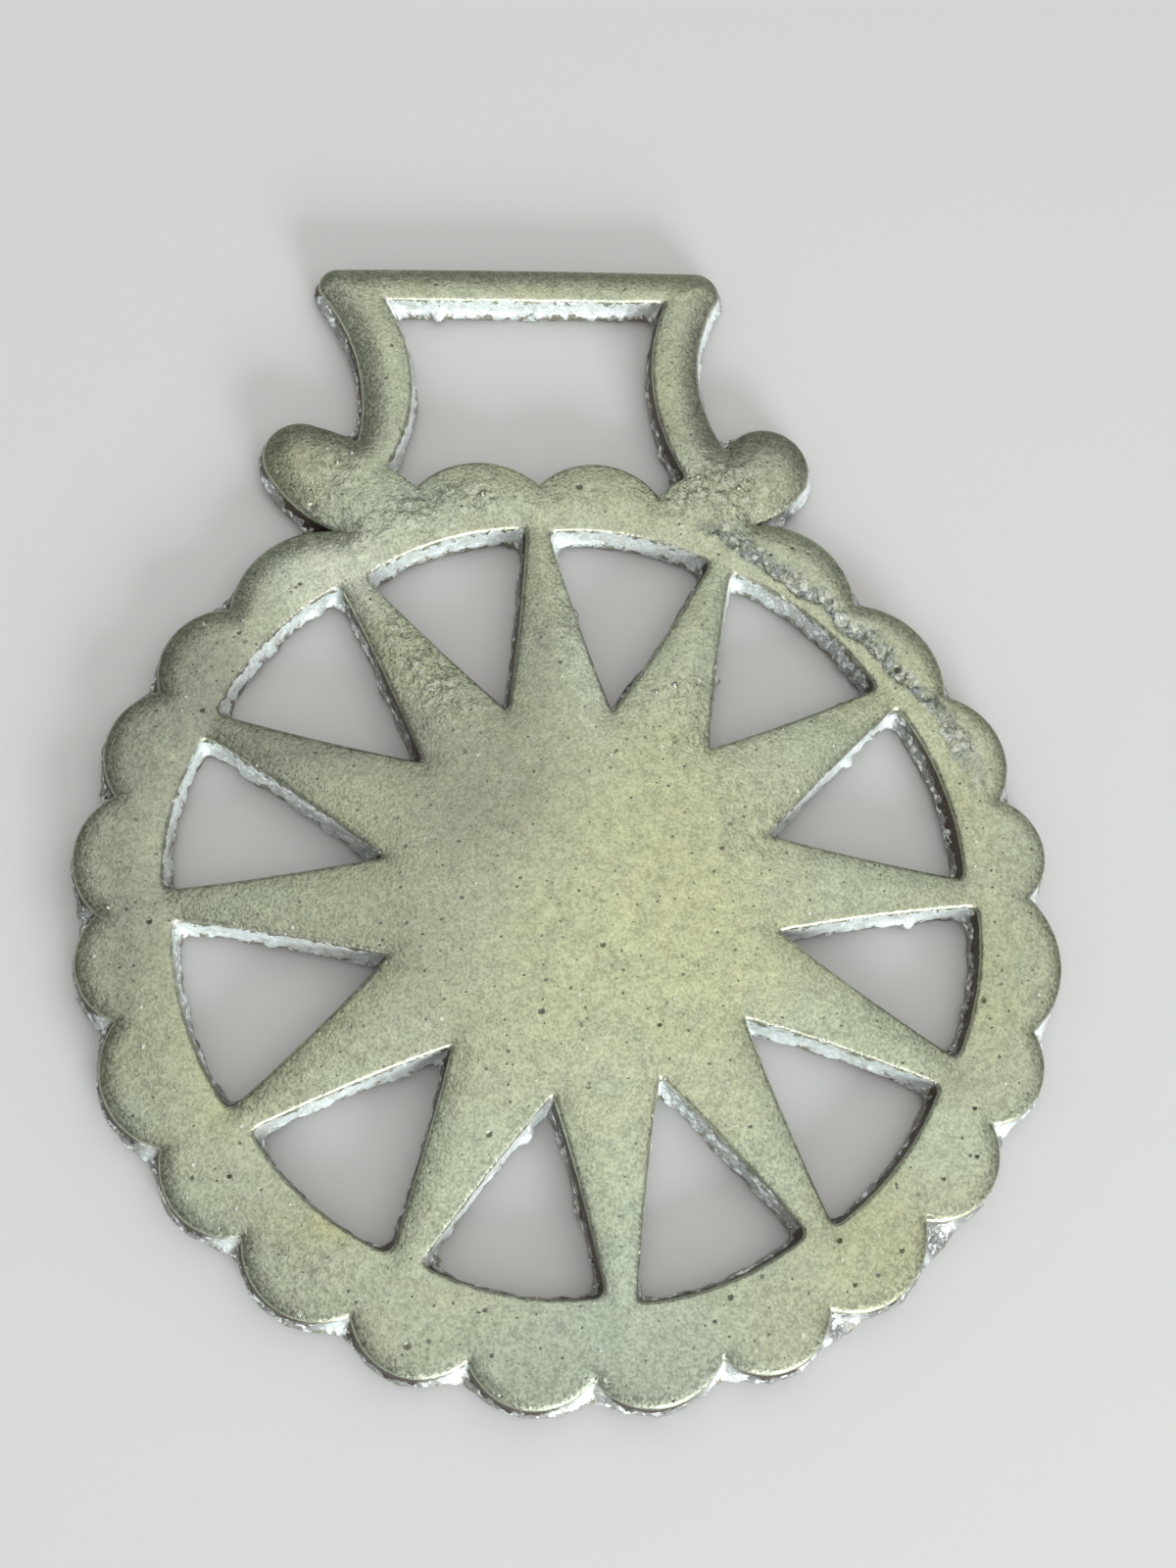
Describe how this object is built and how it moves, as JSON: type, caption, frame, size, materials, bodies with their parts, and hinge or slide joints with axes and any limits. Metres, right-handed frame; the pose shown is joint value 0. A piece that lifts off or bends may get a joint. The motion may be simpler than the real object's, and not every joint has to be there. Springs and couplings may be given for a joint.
{
  "type": "horse brass",
  "caption": "Cast brass harness ornament: a pierced sunburst disc with a scalloped rim, two ears and a strap hanger. Flat back, slightly domed face.",
  "frame": {"origin": "middle of the object's box, on its flat back", "axes": "+Z out of the face, +Y from the disc towards the strap hanger, +X to the right when the face is seen with the hanger up"},
  "size_m": [0.0766, 0.0938, 0.0046],
  "materials": {
    "cast_brass": "tarnished as-cast brass, satin, pitted, brighter on the worn edges"
  },
  "bodies": {
    "root": {"horse_brass": "cast_brass"}
  },
  "joints": []
}
